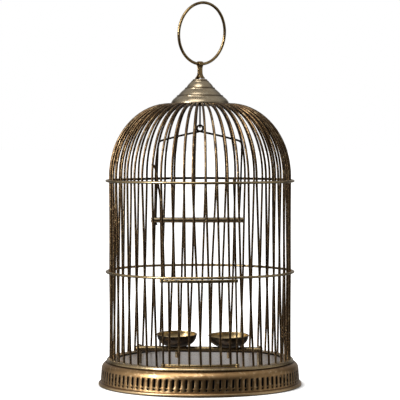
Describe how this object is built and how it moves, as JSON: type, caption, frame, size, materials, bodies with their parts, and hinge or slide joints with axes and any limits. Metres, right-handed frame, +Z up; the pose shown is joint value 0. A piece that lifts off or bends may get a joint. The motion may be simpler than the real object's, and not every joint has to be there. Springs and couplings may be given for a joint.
{
  "type": "hanging bird cage",
  "caption": "Round dome-topped wire bird cage on its own pierced base, with a lift-up wire door, a swing, feeding cups on a rail and a hanging ring.",
  "frame": {"origin": "on the cage's axis at the foot of the base, where it stands", "axes": "+Z up along the axis of the cage, -Y towards the door, +X to the right as seen from the door"},
  "size_m": [0.304, 0.304, 0.5717],
  "materials": {
    "wire_brass": "aged, brown patina with brighter rubbed edges",
    "base_brass": "aged golden brass, dark patina in the grooves",
    "floor_metal": "satin grey plate, lightly worn",
    "feeder_brass": "aged brass, brighter inside the cups",
    "cap_bronze": "satin spun bronze, fine turning lines",
    "hanger_brass": "rubbed golden brass with dark patina",
    "perch_bronze": "dark brown bronze, satin"
  },
  "bodies": {
    "base": {"base_skirt": "base_brass", "seat_ring": "base_brass", "floor_plate": "floor_metal", "feeder_rail": "feeder_brass", "feeder_post_left": "feeder_brass", "feeder_post_right": "feeder_brass"},
    "cup_left_body": {"cup_left": "feeder_brass", "cup_stem_left": "feeder_brass"},
    "cup_right_body": {"cup_right": "feeder_brass", "cup_stem_right": "feeder_brass"},
    "cage": {"bottom_ring": "base_brass", "middle_hoop": "wire_brass", "upper_hoop": "wire_brass", "hairpin_wire_01": "wire_brass", "hairpin_wire_02": "wire_brass", "hairpin_wire_03": "wire_brass", "hairpin_wire_04": "wire_brass", "hairpin_wire_05": "wire_brass", "hairpin_wire_06": "wire_brass", "hairpin_wire_07": "wire_brass", "hairpin_wire_08": "wire_brass", "hairpin_wire_09": "wire_brass", "hairpin_wire_10": "wire_brass", "hairpin_wire_11": "wire_brass", "hairpin_wire_12": "wire_brass", "hairpin_wire_13": "wire_brass", "hairpin_wire_14": "wire_brass", "hairpin_wire_15": "wire_brass", "hairpin_wire_16": "wire_brass", "hairpin_wire_17": "wire_brass", "hairpin_wire_18": "wire_brass", "hairpin_wire_19": "wire_brass", "hairpin_wire_20": "wire_brass", "hairpin_wire_21": "wire_brass", "hairpin_wire_22": "wire_brass", "hairpin_wire_23": "wire_brass", "hairpin_wire_24": "wire_brass", "hairpin_wire_25": "wire_brass", "hairpin_wire_26": "wire_brass", "crown_plate": "wire_brass", "crown_stem": "wire_brass", "crown_cap": "cap_bronze", "hanger_clip": "hanger_brass", "guide_rod_left": "wire_brass", "guide_rod_right": "wire_brass", "swing_hook": "wire_brass"},
    "door": {"door_bottom_rail": "wire_brass", "door_top_rail": "wire_brass", "door_bar_1": "wire_brass", "door_bar_2": "wire_brass", "door_bar_3": "wire_brass", "door_bar_4": "wire_brass", "door_bar_5": "wire_brass", "door_bar_6": "wire_brass", "door_bar_7": "wire_brass"},
    "ring": {"hanging_ring": "hanger_brass"},
    "swing": {"swing_bail": "wire_brass", "swing_perch": "perch_bronze"}
  },
  "joints": [
    {"name": "cage_lift", "type": "slide", "parent": "base", "child": "cage", "axis": [0, 0, 1], "range_m": [0, 0.06]},
    {"name": "door_slide", "type": "slide", "parent": "cage", "child": "door", "axis": [-0.0175, 0.0087, 0.9998], "range_m": [0, 0.112]},
    {"name": "ring_fold", "type": "hinge", "parent": "cage", "child": "ring", "pos_m": [0, 0, 0.4792], "axis": [0.7513, 0.66, 0], "range_deg": [-120, 110]},
    {"name": "swing_sway", "type": "hinge", "parent": "cage", "child": "swing", "pos_m": [0, 0, 0.38775], "axis": [1, 0, 0], "range_deg": [-35, 35]},
    {"name": "cup_left_lift", "type": "slide", "parent": "base", "child": "cup_left_body", "axis": [0, -0.0523, 0.9986], "range_m": [0, 0.03]},
    {"name": "cup_right_lift", "type": "slide", "parent": "base", "child": "cup_right_body", "axis": [0, -0.0523, 0.9986], "range_m": [0, 0.03]}
  ]
}
